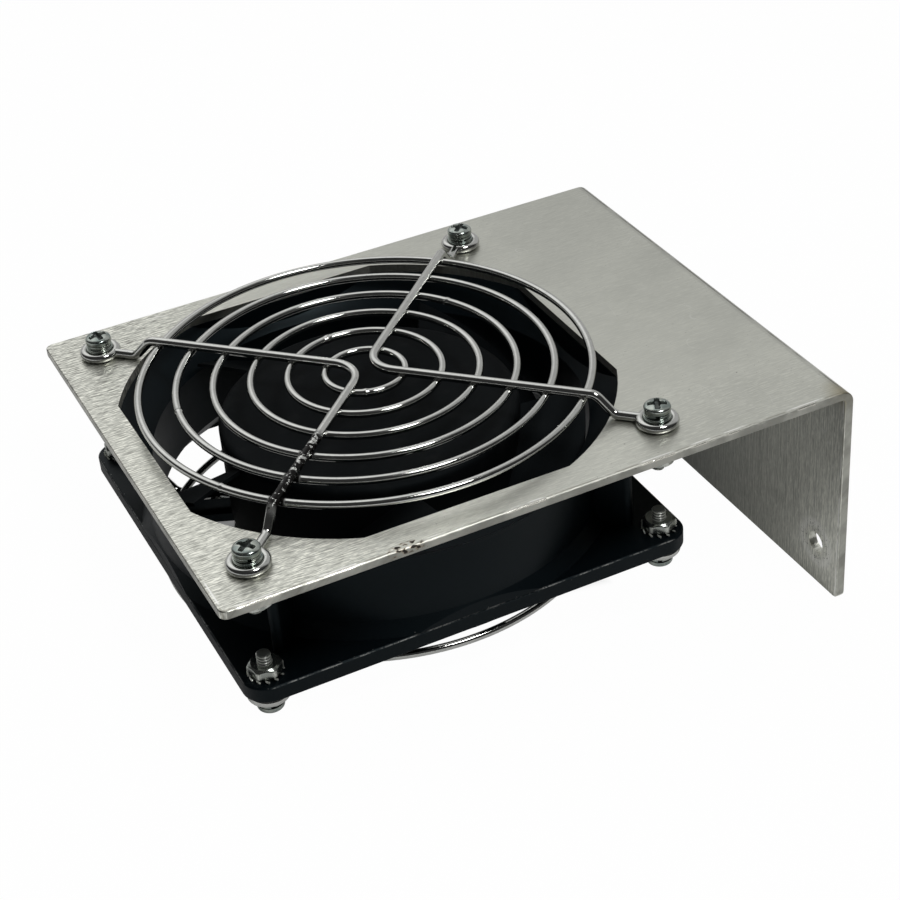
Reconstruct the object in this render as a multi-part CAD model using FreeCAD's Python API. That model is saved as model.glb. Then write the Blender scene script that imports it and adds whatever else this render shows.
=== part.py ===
import FreeCAD, Part
import math
import os

# A compact axial fan hung under a folded sheet-metal bracket, with a wire guard on each side.
# Millimetres. Heights are counted from the plate's upper face and places from the fan's axis.
# At the end everything is moved so that the origin lies between the two mounting holes,
# on the outer face of the folded flange.

# Bracket, folded from one sheet
sheet_thickness = 2.3
plate_length = 164.0
plate_width = 130.0
plate_corner_radius = 2.0
sheet_edge_break = 0.25
bend_inner_radius = 1.2
flange_height = 64.0
fan_axis_inset = 64.0

# Mounting holes in the bracket's flange
mount_inset = 10.0
mount_height = 12.3
mount_hole_radius = 3.0

# Fan housing
hole_spacing = 104.8
hole_margin = 6.1
fan_depth = 32.9
fan_flange_thickness = 4.4
fan_corner_radius = 6.5
fan_edge_chamfer = 0.4
throat_inset = 3.5
barrel_wall = 3.2
skirt_growth = 2.6
skirt_height = 3.4
flare_growth = 7.3
flare_depth = 8.0
opening_rim = 2.0
rib_thickness = 3.0

# Spider that carries the motor
spider_recess = 0.4
spider_thickness = 2.4
spider_radius = 35.0
arm_width = 7.0
arm_count = 3
arm_end_gap = 1.0
first_arm_angle = 36.0
boss_wall = 3.0

# Bearings and shaft
shaft_radius = 2.5
shaft_end_gap = 0.8
bearing_wall = 3.5
bearing_gap = 2.4
bearing_tube_wall = 2.0
bearing_cap_thickness = 1.2
clip_space = 4.0
clip_rim = 1.9
clip_thickness = 0.8
clip_groove_depth = 0.6
clip_mouth = 3.0
thrust_washer_inset = 1.0
thrust_washer_thickness = 0.8
end_play = 0.2

# Stator
stator_radius = 26.9
yoke_wall = 5.0
pole_count = 4
pole_width = 10.0
pole_shoe_thickness = 3.9
pole_shoe_half_angle = 38.0
bobbin_wall = 0.8
winding_thickness = 2.8

# Leads and terminals
lead_radius = 0.6
lead_spacing = 5.2
lead_bend_radius = 1.5
lead_room = 3.75
window_side = 2.1
window_height = 8.4
block_rim = 1.4
block_thickness = 2.5
block_plug_depth = 1.4
tab_thickness = 0.5
tab_width = 2.8
tab_length = 6.2
tab_inner_reach = 1.2

# Rotor and impeller
rotor_core_thickness = 7.6
rotor_cup_wall = 1.2
rotor_cup_recess = 0.2
hub_wall = 1.7
hub_roof = 2.0
hub_recess = 2.0
hub_edge_radius = 2.0
cage_ring_height = 3.0
cage_ring_inset = 0.6
cage_bar_count = 20
cage_bar_radius = 1.2
bushing_wall = 4.0
bushing_length = 5.0
bushing_spigot_wall = 2.0

# Blades
blade_count = 5
blade_first_angle = 28.0
blade_thickness = 1.7
blade_camber = 2.2
blade_root_chord = 34.0
blade_tip_chord = 46.0
blade_root_pitch = 41.0
blade_tip_pitch = 29.0
blade_sweep = 4.0
blade_section_count = 4

# Wire guards
guard_ring_count = 6
guard_inner_ring_radius = 10.0
guard_outer_ring_inset = 2.8
guard_ring_wire = 2.0
guard_support_wire = 2.4
guard_ring_height = 4.9
guard_weld_sink = 0.95
guard_vee_radius = 7.7
guard_bend_radius = 3.0
guard_step_length = 4.6
guard_foot_length = 10.5
guard_eye_radius = 4.1

# Screws, washers and nuts, one size throughout
thread_radius = 1.75
screw_head_radius = 3.3
screw_head_height = 1.9
screw_head_side = 0.9
screw_end = 2.1
recess_length = 3.8
recess_width = 0.9
recess_depth = 1.2
lock_washer_radius = 3.2
lock_washer_thickness = 1.2
lock_washer_slit = 0.6
flat_washer_radius = 3.4
flat_washer_thickness = 0.8
tooth_length = 0.85
tooth_width = 1.1
tooth_count = 12
tooth_washer_thickness = 0.8
nut_across_flats = 7.9
nut_height = 3.0
nut_chamfer = 0.7

# Clearances
slip_fit = 0.05
screw_fit = 0.1
running_clearance = 0.04
hole_clearance = 0.4
air_gap = 0.4
winding_clearance = 2.15
hub_clearance = 2.2
blade_tip_clearance = 1.0
rib_clearance = 1.85

# How close two heights or places count as the same
tolerance = 1e-3

# Radii and widths that follow from the sizes above
diagonal = math.sqrt(0.5)
bolt_circle = hole_spacing * diagonal
plate_right = plate_length - fan_axis_inset
mount_spacing = plate_width - 2 * mount_inset
fan_side = hole_spacing + 2 * hole_margin
hole_radius = thread_radius + hole_clearance
throat_radius = fan_side / 2 - throat_inset
barrel_radius = throat_radius + barrel_wall
opening_radius = throat_radius + flare_growth
opening_width = fan_side - 2 * opening_rim
bearing_bore = shaft_radius + running_clearance
bearing_radius = bearing_bore + bearing_wall
bearing_tube_bore = bearing_radius + slip_fit
bearing_tube_radius = bearing_tube_bore + bearing_tube_wall
motor_bore = bearing_tube_radius + slip_fit
boss_radius = motor_bore + boss_wall
yoke_radius = motor_bore + yoke_wall
shaft_hole = shaft_radius + slip_fit
thrust_washer_radius = bearing_radius - thrust_washer_inset
clip_groove_radius = shaft_radius - clip_groove_depth
clip_radius = shaft_radius + clip_rim
bushing_radius = shaft_hole + bushing_wall
bushing_spigot_radius = shaft_hole + bushing_spigot_wall
rotor_core_inner = stator_radius + air_gap
rotor_core_outer = rotor_core_inner + rotor_core_thickness
cup_inner = rotor_core_outer + slip_fit
cup_outer = cup_inner + rotor_cup_wall
hub_inner = cup_outer + slip_fit
hub_radius = hub_inner + hub_wall
blade_tip_radius = throat_radius - blade_tip_clearance
bobbin_inner = pole_width / 2 + slip_fit
bobbin_outer = bobbin_inner + bobbin_wall
winding_outer = bobbin_outer + winding_thickness
bobbin_start = yoke_radius + slip_fit
bobbin_end = math.sqrt((stator_radius - pole_shoe_thickness) ** 2 - winding_outer ** 2) - slip_fit
lead_places = (-lead_spacing / 2, lead_spacing / 2)
window_width = lead_spacing + 2 * window_side
block_width = window_width + 2 * block_rim
block_face = barrel_radius + slip_fit
tooth_washer_root = nut_across_flats / 2
tooth_washer_radius = tooth_washer_root + tooth_length
rib_reach = bolt_circle - tooth_washer_radius - rib_clearance
guard_foot_start = bolt_circle - guard_foot_length
guard_arm_end = guard_foot_start - guard_step_length
guard_ring_pitch = (guard_arm_end - guard_outer_ring_inset - guard_inner_ring_radius) / (guard_ring_count - 1)

# Heights that follow from the sizes above
guard_arm_height = guard_ring_height + (guard_ring_wire + guard_support_wire) / 2 - guard_weld_sink
eye_slope = math.sqrt((guard_support_wire / 2) ** 2 - (guard_eye_radius - flat_washer_radius) ** 2)
flat_washer_bottom = guard_support_wire / 2 + eye_slope
lock_washer_bottom = flat_washer_bottom + flat_washer_thickness
screw_seat = lock_washer_bottom + lock_washer_thickness
fan_top = -sheet_thickness
fan_bottom = fan_top - fan_depth
upper_flange_bottom = fan_top - fan_flange_thickness
lower_flange_top = fan_bottom + fan_flange_thickness
spider_bottom = fan_bottom + spider_recess
spider_top = spider_bottom + spider_thickness
hub_top = fan_top - hub_recess
hub_bottom = spider_top + hub_clearance
cup_top = hub_top - hub_roof
cup_roof = cup_top - rotor_cup_wall
cup_bottom = hub_bottom + rotor_cup_recess
winding_overhang = slip_fit + bobbin_wall + winding_thickness
stator_low = spider_top + lead_room + winding_overhang
stator_high = cup_roof - winding_clearance - winding_overhang
bushing_bottom = cup_roof - bushing_length
tube_bottom = spider_bottom + bearing_cap_thickness
tube_top = bushing_bottom - thrust_washer_thickness - end_play
lower_bearing_bottom = tube_bottom + clip_space
bearing_length = (tube_top - lower_bearing_bottom - bearing_gap) / 2
upper_bearing_bottom = tube_top - bearing_length
upper_washer_bottom = bushing_bottom - thrust_washer_thickness
lower_washer_bottom = lower_bearing_bottom - end_play - thrust_washer_thickness
lead_height = spider_top + lead_radius
window_top = spider_top + window_height
block_top = window_top + block_rim
tab_middle = (lower_flange_top + window_top) / 2

# Places
bolt_places = [(x * hole_spacing / 2, y * hole_spacing / 2) for x in (-1, 1) for y in (-1, 1)]
mount_places = [(y * mount_spacing / 2, mount_height - flange_height) for y in (-1, 1)]
origin = FreeCAD.Vector(plate_right, 0, mount_height - flange_height)
up = FreeCAD.Vector(0, 0, 1)
along_x = FreeCAD.Vector(1, 0, 0)


def at(x, y, z):
    return FreeCAD.Vector(x, y, z)


def disc(radius, low, high, x=0.0, y=0.0):
    """An upright cylinder between two heights."""
    return Part.makeCylinder(radius, high - low, at(x, y, low), up)


def tube(outer, inner, low, high):
    """An upright ring between two heights, centred on the axis."""
    return disc(outer, low, high).cut(disc(inner, low, high))


def slab(x_low, x_high, y_low, y_high, low, high):
    """A box between two corners."""
    return Part.makeBox(x_high - x_low, y_high - y_low, high - low, at(x_low, y_low, low))


def turned(shape, degrees):
    """A copy turned about the upright axis."""
    copy = shape.copy()
    copy.rotate(at(0, 0, 0), up, degrees)
    return copy


def moved(shape, x, y, z):
    copy = shape.copy()
    copy.translate(at(x, y, z))
    return copy


def turned_over(shape):
    """A copy of a piece made for the plate's upper face, turned over onto the fan's lower face."""
    copy = shape.copy()
    copy.rotate(at(0, 0, 0), along_x, 180)
    copy.translate(at(0, 0, fan_bottom))
    return copy


def around(shape, count, first=0.0):
    """Copies spread evenly about the axis."""
    return [turned(shape, first + 360 * number / count) for number in range(count)]


def solid_of(profile):
    """A full turn about the axis of an outline in the XZ plane."""
    return Part.Face(Part.Wire(profile)).revolve(at(0, 0, 0), up, 360)


def line(start, end):
    return Part.LineSegment(start, end).toShape()


def arc(start, middle, end):
    return Part.Arc(start, middle, end).toShape()


def level_edges(shape):
    """The edges that lie flat."""
    return [edge for edge in shape.Edges if edge.BoundBox.ZLength < tolerance]


def edges_at(shape, height):
    """The flat edges at one height."""
    return [edge for edge in level_edges(shape) if abs(edge.BoundBox.ZMin - height) < tolerance]


def upright_edges(shape):
    """The straight edges that stand on end."""
    return [edge for edge in shape.Edges if edge.BoundBox.XLength + edge.BoundBox.YLength < tolerance]


def opening(low, high):
    """The air opening's outline: a circle cut off by four flats."""
    half = opening_width / 2
    return disc(opening_radius, low, high).common(slab(-half, half, -half, half, low, high))


def sheared_edges(sheet):
    """The long edges round the sheet's outline, without the lines where the bend starts and ends."""
    edges = []
    for edge in sheet.Edges:
        box = edge.BoundBox
        across_thickness = abs(edge.Length - sheet_thickness) < tolerance
        along_width = box.XLength + box.ZLength < tolerance
        at_end = box.XMax < tolerance - fan_axis_inset or box.ZMax < tolerance - flange_height
        if not across_thickness and (at_end or not along_width):
            edges.append(edge)
    return edges


def mounting_bracket():
    bend_radius = bend_inner_radius + sheet_thickness
    left = -fan_axis_inset
    front = -plate_width / 2
    bend_x = plate_right - bend_radius
    inner_x = plate_right - sheet_thickness
    corners = [at(left, front, 0), at(bend_x, front, 0), at(plate_right, front, -bend_radius),
               at(plate_right, front, -flange_height), at(inner_x, front, -flange_height),
               at(inner_x, front, -bend_radius), at(bend_x, front, -sheet_thickness),
               at(left, front, -sheet_thickness)]
    bend_middle = at(bend_x, front, -bend_radius)
    outer_middle = bend_middle + at(diagonal, 0, diagonal) * bend_radius
    inner_middle = bend_middle + at(diagonal, 0, diagonal) * bend_inner_radius
    outline = [line(corners[0], corners[1]), arc(corners[1], outer_middle, corners[2]),
               line(corners[2], corners[3]), line(corners[3], corners[4]), line(corners[4], corners[5]),
               arc(corners[5], inner_middle, corners[6]), line(corners[6], corners[7]),
               line(corners[7], corners[0])]
    sheet = Part.Face(Part.Wire(outline)).extrude(at(0, plate_width, 0))
    free_corners = [edge for edge in upright_edges(sheet) if edge.BoundBox.XMax < left + sheet_thickness]
    low_corners = [edge for edge in sheet.Edges
                   if edge.BoundBox.YLength < tolerance and edge.BoundBox.ZMax < tolerance - flange_height]
    sheet = sheet.makeFillet(plate_corner_radius, free_corners + low_corners)
    sheet = sheet.makeChamfer(sheet_edge_break, sheared_edges(sheet))
    sheet = sheet.cut(opening(-sheet_thickness, 0))
    for x, y in bolt_places:
        sheet = sheet.cut(disc(hole_radius, -sheet_thickness, 0, x, y))
    for y, z in mount_places:
        sheet = sheet.cut(Part.makeCylinder(mount_hole_radius, sheet_thickness, at(inner_x, y, z), along_x))
    return sheet


def flare(face, inwards):
    """The funnel at one face: a cone that opens to the opening's circle, cut off by its four flats."""
    mouth = [at(0, 0, face), at(opening_radius, 0, face)]
    neck = [at(throat_radius, 0, face + inwards * flare_depth), at(0, 0, face + inwards * flare_depth)]
    corners = mouth + neck
    funnel = solid_of([line(corners[k - 1], corners[k]) for k in range(4)])
    half = opening_width / 2
    low = min(face, face + inwards * flare_depth)
    return funnel.common(slab(-half, half, -half, half, low, low + flare_depth))


def corner_rib():
    """A wall with a round end between the flanges, from the barrel out towards a corner."""
    end = rib_reach - rib_thickness / 2
    low = fan_bottom + fan_flange_thickness / 2
    high = fan_top - fan_flange_thickness / 2
    wall = slab(throat_radius, end, -rib_thickness / 2, rib_thickness / 2, low, high)
    return wall.fuse(disc(rib_thickness / 2, low, high, end))


def barrel_skirt(face, outwards):
    """The cone with which the barrel widens towards a flange, outside the funnel."""
    foot = at(barrel_radius + skirt_growth, 0, face)
    head = at(barrel_radius, 0, face + outwards * skirt_height)
    root = at(barrel_radius - barrel_wall / 2, 0, face)
    top = at(barrel_radius - barrel_wall / 2, 0, head.z)
    return solid_of([line(foot, head), line(head, top), line(top, root), line(root, foot)])


def fan_housing():
    half = fan_side / 2
    outline = slab(-half, half, -half, half, fan_bottom, fan_top)
    body = disc(barrel_radius, fan_bottom, fan_top).common(outline)
    for low in (fan_bottom, upper_flange_bottom):
        flange = slab(-half, half, -half, half, low, low + fan_flange_thickness)
        flange = flange.makeFillet(fan_corner_radius, upright_edges(flange))
        flange = flange.makeChamfer(fan_edge_chamfer, level_edges(flange))
        body = body.fuse(flange)
    for copy in around(corner_rib(), 4, 45):
        body = body.fuse(copy)
    skirts = barrel_skirt(lower_flange_top, 1).fuse(barrel_skirt(upper_flange_bottom, -1))
    body = body.fuse(skirts.common(outline))
    body = body.cut(disc(throat_radius, fan_bottom, fan_top))
    body = body.cut(flare(fan_top, -1)).cut(flare(fan_bottom, 1))
    for x, y in bolt_places:
        body = body.cut(disc(hole_radius, fan_bottom, fan_top, x, y))
    body = body.fuse(disc(spider_radius, spider_bottom, spider_top))
    inner_half = half - arm_end_gap
    arm_space = slab(-inner_half, inner_half, -inner_half, inner_half, spider_bottom, spider_top)
    arm = slab(0, opening_radius, -arm_width / 2, arm_width / 2, spider_bottom, spider_top)
    for copy in around(arm, arm_count, first_arm_angle):
        body = body.fuse(copy.common(arm_space))
    body = body.fuse(disc(boss_radius, spider_bottom, stator_low))
    body = body.cut(disc(motor_bore, spider_bottom, stator_low))
    window = slab(spider_radius, block_face, -window_width / 2, window_width / 2, spider_top, window_top)
    seat_half = block_width / 2 + slip_fit
    seat = slab(block_face, block_face + skirt_growth, -seat_half, seat_half,
                lower_flange_top, block_top)
    return body.cut(turned(window.fuse(seat), first_arm_angle)).removeSplitter()


def bearing_tube():
    return tube(bearing_tube_radius, bearing_tube_bore, tube_bottom, tube_top)


def bearing(low):
    """A plain sleeve bearing: the shaft runs in its bore."""
    return tube(bearing_radius, bearing_bore, low, low + bearing_length)


def bearing_cap():
    return disc(bearing_tube_radius, spider_bottom, tube_bottom)


def stator_core():
    core = disc(yoke_radius, stator_low, stator_high)
    shoe = tube(stator_radius, stator_radius - pole_shoe_thickness, stator_low, stator_high)
    reach = 2 * stator_radius
    wedge_points = [at(0, 0, stator_low)]
    for degrees in (-pole_shoe_half_angle, pole_shoe_half_angle):
        angle = math.radians(degrees)
        wedge_points.append(at(reach * math.cos(angle), reach * math.sin(angle), stator_low))
    wedge_points.append(wedge_points[0])
    wedge = Part.Face(Part.makePolygon(wedge_points)).extrude(at(0, 0, stator_high - stator_low))
    shoe = shoe.common(wedge)
    pole_end = stator_radius - pole_shoe_thickness / 2
    pole = slab(0, pole_end, -pole_width / 2, pole_width / 2, stator_low, stator_high)
    for copy in around(pole.fuse(shoe), pole_count, first_arm_angle):
        core = core.fuse(copy)
    return core.cut(disc(motor_bore, stator_low, stator_high)).removeSplitter()


def sleeve_on_pole(x_low, x_high, inner, outer):
    """A square sleeve round one pole, from its inner clearance to the given growth."""
    growth = outer - inner
    floor = stator_low - slip_fit
    roof = stator_high + slip_fit
    block = slab(x_low, x_high, -outer, outer, floor - growth, roof + growth)
    return block.cut(slab(x_low, x_high, -inner, inner, floor, roof))


def coil_bobbins():
    """Flanged sleeves that reach from the yoke to where their corners meet the pole shoe."""
    bobbin = sleeve_on_pole(bobbin_start, bobbin_end, bobbin_inner, bobbin_outer)
    for low in (bobbin_start, bobbin_end - bobbin_wall):
        bobbin = bobbin.fuse(sleeve_on_pole(low, low + bobbin_wall, bobbin_inner, winding_outer))
    return around(bobbin.removeSplitter(), pole_count, first_arm_angle)


def stator_windings():
    """Copper wound round each bobbin between its flanges, with rounded outer corners."""
    low = bobbin_start + bobbin_wall
    high = bobbin_end - bobbin_wall
    floor = stator_low - slip_fit - bobbin_wall
    roof = stator_high + slip_fit + bobbin_wall
    block = slab(low, high, -winding_outer, winding_outer,
                 floor - winding_thickness, roof + winding_thickness)
    corners = [edge for edge in block.Edges if edge.BoundBox.XLength > high - low - tolerance]
    block = block.makeFillet(winding_thickness / 2, corners)
    winding = block.cut(slab(low, high, -bobbin_outer, bobbin_outer, floor, roof))
    return around(winding, pole_count, first_arm_angle)


def motor_leads():
    """Two insulated wires from a winding, along the spider's arm and up to the terminals."""
    bend = lead_bend_radius
    inner = (bobbin_start + bobbin_end) / 2
    outer = throat_radius + tab_inner_reach
    tab_low = tab_middle - tab_width / 2
    corner = bend * (1 - diagonal)
    leads = []
    for y in lead_places:
        first = at(inner, y, stator_low - winding_overhang)
        down = at(inner, y, lead_height + bend)
        down_middle = at(inner + corner, y, lead_height + corner)
        along = at(inner + bend, y, lead_height)
        rise = at(outer - bend, y, lead_height)
        rise_middle = at(outer - corner, y, lead_height + corner)
        top = at(outer, y, lead_height + bend)
        last = at(outer, y, tab_low)
        path = Part.Wire([line(first, down), arc(down, down_middle, along), line(along, rise),
                          arc(rise, rise_middle, top), line(top, last)])
        section = Part.Wire(Part.makeCircle(lead_radius, first, at(0, 0, -1)))
        leads.append(turned(path.makePipeShell([section], True, True), first_arm_angle))
    return leads


def tab(y, grow=0.0):
    """One flat terminal tab, pointing outwards."""
    inner = throat_radius + tab_inner_reach - lead_radius
    outer = block_face + block_thickness + tab_length
    side = tab_thickness / 2 + grow
    rise = tab_width / 2 + grow
    return slab(inner, outer, y - side, y + side, tab_middle - rise, tab_middle + rise)


def terminal_block():
    """A plate against the barrel with a plug in its window, slotted for the two tabs."""
    half = block_width / 2
    block = slab(block_face, block_face + block_thickness, -half, half, lower_flange_top, block_top)
    plug_half = window_width / 2 - slip_fit
    plug = slab(block_face - block_plug_depth, block_face, -plug_half, plug_half,
                lower_flange_top, window_top - slip_fit)
    block = block.fuse(plug)
    for y in lead_places:
        block = block.cut(tab(y, slip_fit))
    return turned(block.removeSplitter(), first_arm_angle)


def spade_terminals():
    return [turned(tab(y), first_arm_angle) for y in lead_places]


def blade_section(radius):
    """One closed blade section, a cambered arc of even thickness, standing across the blade at a radius."""
    share = (radius - hub_radius) / (blade_tip_radius - hub_radius)
    chord = blade_root_chord + share * (blade_tip_chord - blade_root_chord)
    angle = math.radians(blade_root_pitch + share * (blade_tip_pitch - blade_root_pitch))
    middle = fan_top - fan_depth / 2

    def point(along, above):
        across = share * blade_sweep + along * math.cos(angle) - above * math.sin(angle)
        return at(radius, across, middle + along * math.sin(angle) + above * math.cos(angle))

    half = chord / 2
    thin = blade_thickness / 2
    upper = arc(point(-half, thin / 2), point(0, blade_camber + thin), point(half, thin / 2))
    nose = line(point(half, thin / 2), point(half, -thin / 2))
    lower = arc(point(half, -thin / 2), point(0, blade_camber - thin), point(-half, -thin / 2))
    tail = line(point(-half, -thin / 2), point(-half, thin / 2))
    return Part.Wire([upper, nose, lower, tail])


def impeller():
    """A cup-shaped hub with twisted blades, each a loft from inside the hub's wall to past the tip."""
    hub = disc(hub_radius, hub_bottom, hub_top)
    hub = hub.makeFillet(hub_edge_radius, edges_at(hub, hub_top))
    inside = disc(hub_inner, hub_bottom, cup_top)
    first = math.sqrt(hub_inner ** 2 - (blade_root_chord / 2) ** 2) - blade_thickness
    span = blade_tip_radius + blade_thickness - first
    places = [first + span * number / (blade_section_count - 1) for number in range(blade_section_count)]
    blade = Part.makeLoft([blade_section(place) for place in places], True)
    ring = tube(blade_tip_radius, hub_inner + hub_wall / 2, hub_bottom, hub_top)
    blade = blade.common(ring)
    for copy in around(blade, blade_count, blade_first_angle):
        hub = hub.fuse(copy)
    return hub.cut(inside).removeSplitter()


def rotor_cup():
    cup = disc(cup_outer, cup_bottom, cup_top)
    cup = cup.cut(disc(cup_inner, cup_bottom, cup_roof))
    return cup.cut(disc(bushing_spigot_radius + slip_fit, cup_roof, cup_top))


def bar_places():
    """Where the cage's bars pass through the rotor core."""
    ring = (rotor_core_inner + rotor_core_outer) / 2
    angles = [2 * math.pi * number / cage_bar_count for number in range(cage_bar_count)]
    return [(ring * math.cos(angle), ring * math.sin(angle)) for angle in angles]


def rotor_core():
    core = tube(rotor_core_outer, rotor_core_inner, stator_low, stator_high)
    holes = [disc(cage_bar_radius + slip_fit, stator_low, stator_high, x, y) for x, y in bar_places()]
    return core.cut(holes)


def rotor_cage():
    """Two end rings joined by bars that lie in the core."""
    inner = rotor_core_inner + cage_ring_inset
    outer = rotor_core_outer - cage_ring_inset
    lower = tube(outer, inner, stator_low - cage_ring_height, stator_low)
    upper = tube(outer, inner, stator_high, stator_high + cage_ring_height)
    low = stator_low - cage_ring_height / 2
    high = stator_high + cage_ring_height / 2
    bars = [disc(cage_bar_radius, low, high, x, y) for x, y in bar_places()]
    return lower.fuse([upper] + bars).removeSplitter()


def shaft_bushing():
    body = disc(bushing_radius, bushing_bottom, cup_roof).fuse(disc(bushing_spigot_radius, cup_roof, cup_top))
    return body.cut(disc(shaft_hole, bushing_bottom, cup_top))


def rotor_shaft():
    shaft = disc(shaft_radius, tube_bottom + shaft_end_gap, cup_top)
    groove_bottom = lower_washer_bottom - clip_thickness
    return shaft.cut(tube(bearing_radius, clip_groove_radius, groove_bottom, lower_washer_bottom))


def thrust_washer(low):
    return tube(thrust_washer_radius, shaft_hole, low, low + thrust_washer_thickness)


def retaining_clip():
    """An open ring that snaps into the shaft's groove from the side."""
    low = lower_washer_bottom - clip_thickness
    ring = tube(clip_radius, clip_groove_radius + slip_fit, low, lower_washer_bottom)
    return ring.cut(slab(0, 2 * clip_radius, -clip_mouth / 2, clip_mouth / 2, low, lower_washer_bottom))


def guard_rings():
    """Rings of wire, each notched where a support wire sinks into it at a weld."""
    rings = []
    for number in range(guard_ring_count):
        radius = guard_inner_ring_radius + number * guard_ring_pitch
        ring = Part.makeTorus(radius, guard_ring_wire / 2, at(0, 0, guard_ring_height), up)
        start = at(radius - guard_ring_wire, 0, guard_arm_height)
        arm = Part.makeCylinder(guard_support_wire / 2, 2 * guard_ring_wire, start, along_x)
        for number_of_arm in range(4):
            ring = ring.cut(turned(arm, 45 + 90 * number_of_arm))
        rings.append(ring)
    return rings


def guard_supports():
    """Two wires bent to a right angle near the middle, stepped down at both ends to eyes on the plate."""
    low = guard_support_wire / 2
    high = guard_arm_height
    foot_end = bolt_circle - guard_eye_radius
    slope = math.atan2(high - low, guard_step_length)
    setback = guard_bend_radius * math.tan(slope / 2)
    across = setback * math.cos(slope)
    down = setback * math.sin(slope)
    arc_reach = guard_bend_radius * math.sin(slope / 2)
    arc_drop = guard_bend_radius * (1 - math.cos(slope / 2))

    def spot(side, reach, height):
        """A point on one diagonal arm: side 1 runs to the back, side -1 to the front."""
        return at(-reach * diagonal, side * reach * diagonal, height)

    def arm(side):
        """The straight arm, its two bends and its foot, from the middle outwards."""
        upper_start = spot(side, guard_arm_end - setback, high)
        upper_middle = spot(side, guard_arm_end - setback + arc_reach, high - arc_drop)
        upper_end = spot(side, guard_arm_end + across, high - down)
        lower_start = spot(side, guard_foot_start - across, low + down)
        lower_middle = spot(side, guard_foot_start + setback - arc_reach, low + arc_drop)
        lower_end = spot(side, guard_foot_start + setback, low)
        straight = line(spot(side, guard_vee_radius, high), upper_start)
        foot = line(lower_end, spot(side, foot_end, low))
        return [straight, arc(upper_start, upper_middle, upper_end), line(upper_end, lower_start),
                arc(lower_start, lower_middle, lower_end), foot]

    vee_corner = at(-guard_vee_radius * (1 / diagonal - 1), 0, high)
    bend = arc(spot(1, guard_vee_radius, high), vee_corner, spot(-1, guard_vee_radius, high))
    path = Part.Wire(list(reversed(arm(1))) + [bend] + arm(-1))
    section = Part.Wire(Part.makeCircle(guard_support_wire / 2, spot(1, foot_end, low), spot(1, 1, 0)))
    wire = path.makePipeShell([section], True, True)
    for side in (1, -1):
        eye = Part.makeTorus(guard_eye_radius, guard_support_wire / 2, spot(side, bolt_circle, low), up)
        wire = wire.fuse(eye)
    return [wire, turned(wire, 180)]


def at_bolts(piece):
    return [moved(piece, x, y, 0) for x, y in bolt_places]


def flat_washer():
    """A plain washer that sits in the guard's eye, on the inner slope of its wire."""
    return tube(flat_washer_radius, thread_radius + screw_fit, flat_washer_bottom, lock_washer_bottom)


def lock_washer():
    """A split ring of spring steel."""
    half_slit = lock_washer_slit / 2
    ring = tube(lock_washer_radius, thread_radius + screw_fit, lock_washer_bottom, screw_seat)
    slit = slab(0, 2 * lock_washer_radius, -half_slit, half_slit, lock_washer_bottom, screw_seat)
    return ring.cut(slit)


def screw(grip):
    """A pan-head cross-recess screw that clamps the given thickness under the guard's eye."""
    end = -(grip + tooth_washer_thickness + nut_height + screw_end)
    top = screw_seat + screw_head_height
    head = disc(screw_head_radius, screw_seat, top)
    head = head.makeFillet(screw_head_height - screw_head_side, edges_at(head, top))
    reach = recess_length / 2
    cross = slab(-reach, reach, -recess_width / 2, recess_width / 2, top - recess_depth, top)
    head = head.cut(cross).cut(turned(cross, 90))
    return head.fuse(disc(thread_radius, end, screw_seat))


def tooth_washer(grip):
    """A washer with teeth round its rim, under the nut."""
    low = -grip - tooth_washer_thickness
    ring = disc(tooth_washer_root, low, -grip)
    tooth = slab(0, tooth_washer_radius, -tooth_width / 2, tooth_width / 2, low, -grip)
    ring = ring.fuse(around(tooth, tooth_count))
    return ring.cut(disc(thread_radius + slip_fit, low, -grip)).removeSplitter()


def nut(grip):
    high = -grip - tooth_washer_thickness
    low = high - nut_height
    corner = nut_across_flats / math.sqrt(3)
    angles = [math.pi * number / 3 for number in range(7)]
    points = [at(corner * math.cos(angle), corner * math.sin(angle), low) for angle in angles]
    hexagon = Part.Face(Part.makePolygon(points)).extrude(at(0, 0, nut_height))
    round_off = disc(corner, low, high)
    round_off = round_off.makeChamfer(nut_chamfer, level_edges(round_off))
    return hexagon.common(round_off).cut(disc(thread_radius + slip_fit, low, high))


upper_grip = sheet_thickness + fan_flange_thickness
lower_grip = fan_flange_thickness

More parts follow.
